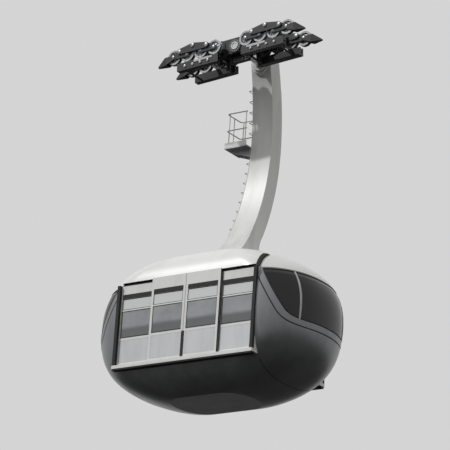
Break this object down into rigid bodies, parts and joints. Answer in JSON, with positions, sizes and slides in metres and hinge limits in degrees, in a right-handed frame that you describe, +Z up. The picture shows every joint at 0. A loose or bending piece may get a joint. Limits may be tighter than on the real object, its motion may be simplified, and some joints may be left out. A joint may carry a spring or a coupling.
{
  "type": "aerial tramway cabin",
  "caption": "Egg-shaped passenger cabin with sliding side doors, hung by a curved outboard arm from a carriage of grooved wheels that runs on two track ropes.",
  "frame": {"origin": "midway between the two track ropes, on the level of their centrelines, at the middle of the carriage", "axes": "+X along the cabin and uphill, +Y outboard towards the hanger arm, +Z up"},
  "size_m": [6.7431, 3.595, 10.4539],
  "materials": {
    "body_paint": "gloss white paint",
    "carriage_steel": "satin dark paint",
    "console_plastic": "matte",
    "floor_cover": "matte",
    "glass": "tinted",
    "grating": "mill finish",
    "hanger_paint": "gloss light grey paint",
    "inner_panel": "matte",
    "nose_paint": "dark silver metallic paint",
    "panel_paint": "silver metallic paint",
    "pin_steel": "bright machined",
    "rail_steel": "brushed",
    "rubber": "matte black",
    "wheel_steel": "machined and worn"
  },
  "bodies": {
    "carriage": {"balance_beams": "carriage_steel", "carriage_frame": "carriage_steel", "haul_rope_clamp": "carriage_steel", "rocker_pins": "pin_steel", "rope_brakes": "carriage_steel", "rope_guides": "carriage_steel", "swing_shaft": "pin_steel", "wheel_rockers": "carriage_steel"},
    "wheel_far_down_1": {"wheel_far_down_1": "wheel_steel"},
    "wheel_far_down_2": {"wheel_far_down_2": "wheel_steel"},
    "wheel_far_down_3": {"wheel_far_down_3": "wheel_steel"},
    "wheel_far_down_4": {"wheel_far_down_4": "wheel_steel"},
    "wheel_far_up_1": {"wheel_far_up_1": "wheel_steel"},
    "wheel_far_up_2": {"wheel_far_up_2": "wheel_steel"},
    "wheel_far_up_3": {"wheel_far_up_3": "wheel_steel"},
    "wheel_far_up_4": {"wheel_far_up_4": "wheel_steel"},
    "wheel_near_down_1": {"wheel_near_down_1": "wheel_steel"},
    "wheel_near_down_2": {"wheel_near_down_2": "wheel_steel"},
    "wheel_near_down_3": {"wheel_near_down_3": "wheel_steel"},
    "wheel_near_down_4": {"wheel_near_down_4": "wheel_steel"},
    "wheel_near_up_1": {"wheel_near_up_1": "wheel_steel"},
    "wheel_near_up_2": {"wheel_near_up_2": "wheel_steel"},
    "wheel_near_up_3": {"wheel_near_up_3": "wheel_steel"},
    "wheel_near_up_4": {"wheel_near_up_4": "wheel_steel"},
    "door_near_up": {"door_glass_near_up": "glass", "door_leaf_near_up": "body_paint"},
    "door_near_down": {"door_glass_near_down": "glass", "door_leaf_near_down": "body_paint"},
    "door_far_up": {"door_glass_far_up": "glass", "door_leaf_far_up": "body_paint"},
    "door_far_down": {"door_glass_far_down": "glass", "door_leaf_far_down": "body_paint"},
    "roof_hatch": {"roof_hatch": "body_paint"},
    "cabin": {"belly_shell": "nose_paint", "ceiling_panel": "inner_panel", "control_console": "console_plastic", "corner_strips": "rubber", "door_rails": "carriage_steel", "floor_deck": "floor_cover", "grab_rails": "rail_steel", "hanger_arm": "hanger_paint", "hanger_foot": "hanger_paint", "hatch_coaming": "body_paint", "ladder_rungs": "hanger_paint", "nose_shell_down": "nose_paint", "nose_shell_up": "nose_paint", "platform_deck": "grating", "platform_railing": "hanger_paint", "roof_caps": "body_paint", "roof_shell": "body_paint", "side_frame_far": "panel_paint", "side_frame_near": "panel_paint", "side_windows_far": "glass", "side_windows_near": "glass", "toe_boards": "hanger_paint", "windscreen_down": "glass", "windscreen_surrounds": "nose_paint", "windscreen_up": "glass"}
  },
  "joints": [
    {"name": "wheel_far_down_1_spin", "type": "hinge", "parent": "carriage", "child": "wheel_far_down_1", "pos_m": [-0.533, 0.44, 0.16773], "axis": [0, 1, 0], "continuous": true},
    {"name": "wheel_far_down_2_spin", "type": "hinge", "parent": "carriage", "child": "wheel_far_down_2", "pos_m": [-0.97193, 0.44, 0.13704], "axis": [0, 1, 0], "continuous": true},
    {"name": "wheel_far_down_3_spin", "type": "hinge", "parent": "carriage", "child": "wheel_far_down_3", "pos_m": [-1.41085, 0.44, 0.10634], "axis": [0, 1, 0], "continuous": true},
    {"name": "wheel_far_down_4_spin", "type": "hinge", "parent": "carriage", "child": "wheel_far_down_4", "pos_m": [-1.84978, 0.44, 0.07565], "axis": [0, 1, 0], "continuous": true},
    {"name": "wheel_far_up_1_spin", "type": "hinge", "parent": "carriage", "child": "wheel_far_up_1", "pos_m": [0.50447, 0.44, 0.24027], "axis": [0, 1, 0], "continuous": true},
    {"name": "wheel_far_up_2_spin", "type": "hinge", "parent": "carriage", "child": "wheel_far_up_2", "pos_m": [0.9434, 0.44, 0.27097], "axis": [0, 1, 0], "continuous": true},
    {"name": "wheel_far_up_3_spin", "type": "hinge", "parent": "carriage", "child": "wheel_far_up_3", "pos_m": [1.38232, 0.44, 0.30166], "axis": [0, 1, 0], "continuous": true},
    {"name": "wheel_far_up_4_spin", "type": "hinge", "parent": "carriage", "child": "wheel_far_up_4", "pos_m": [1.82125, 0.44, 0.33235], "axis": [0, 1, 0], "continuous": true},
    {"name": "wheel_near_down_1_spin", "type": "hinge", "parent": "carriage", "child": "wheel_near_down_1", "pos_m": [-0.533, -0.44, 0.16773], "axis": [0, 1, 0], "continuous": true},
    {"name": "wheel_near_down_2_spin", "type": "hinge", "parent": "carriage", "child": "wheel_near_down_2", "pos_m": [-0.97193, -0.44, 0.13704], "axis": [0, 1, 0], "continuous": true},
    {"name": "wheel_near_down_3_spin", "type": "hinge", "parent": "carriage", "child": "wheel_near_down_3", "pos_m": [-1.41085, -0.44, 0.10634], "axis": [0, 1, 0], "continuous": true},
    {"name": "wheel_near_down_4_spin", "type": "hinge", "parent": "carriage", "child": "wheel_near_down_4", "pos_m": [-1.84978, -0.44, 0.07565], "axis": [0, 1, 0], "continuous": true},
    {"name": "wheel_near_up_1_spin", "type": "hinge", "parent": "carriage", "child": "wheel_near_up_1", "pos_m": [0.50447, -0.44, 0.24027], "axis": [0, 1, 0], "continuous": true},
    {"name": "wheel_near_up_2_spin", "type": "hinge", "parent": "carriage", "child": "wheel_near_up_2", "pos_m": [0.9434, -0.44, 0.27097], "axis": [0, 1, 0], "continuous": true},
    {"name": "wheel_near_up_3_spin", "type": "hinge", "parent": "carriage", "child": "wheel_near_up_3", "pos_m": [1.38232, -0.44, 0.30166], "axis": [0, 1, 0], "continuous": true},
    {"name": "wheel_near_up_4_spin", "type": "hinge", "parent": "carriage", "child": "wheel_near_up_4", "pos_m": [1.82125, -0.44, 0.33235], "axis": [0, 1, 0], "continuous": true},
    {"name": "cabin_swing", "type": "hinge", "parent": "carriage", "child": "cabin", "pos_m": [-0.01426, 1.29, 0.204], "axis": [0, 1, 0], "range_deg": [-30, 30]},
    {"name": "door_near_up_slide", "type": "slide", "parent": "cabin", "child": "door_near_up", "axis": [1, 0, 0], "range_m": [0, 1]},
    {"name": "door_near_down_slide", "type": "slide", "parent": "cabin", "child": "door_near_down", "axis": [1, 0, 0], "range_m": [-1, 0]},
    {"name": "door_far_up_slide", "type": "slide", "parent": "cabin", "child": "door_far_up", "axis": [1, 0, 0], "range_m": [0, 1]},
    {"name": "door_far_down_slide", "type": "slide", "parent": "cabin", "child": "door_far_down", "axis": [1, 0, 0], "range_m": [-1, 0]},
    {"name": "roof_hatch_hinge", "type": "hinge", "parent": "cabin", "child": "roof_hatch", "pos_m": [-1.46826, 0, -6.024], "axis": [0, 1, 0], "range_deg": [-95, 0]}
  ],
  "couplings": [
    {"joint": "door_near_down_slide", "follows": "door_near_up_slide", "ratio": -1},
    {"joint": "door_far_down_slide", "follows": "door_far_up_slide", "ratio": -1}
  ]
}
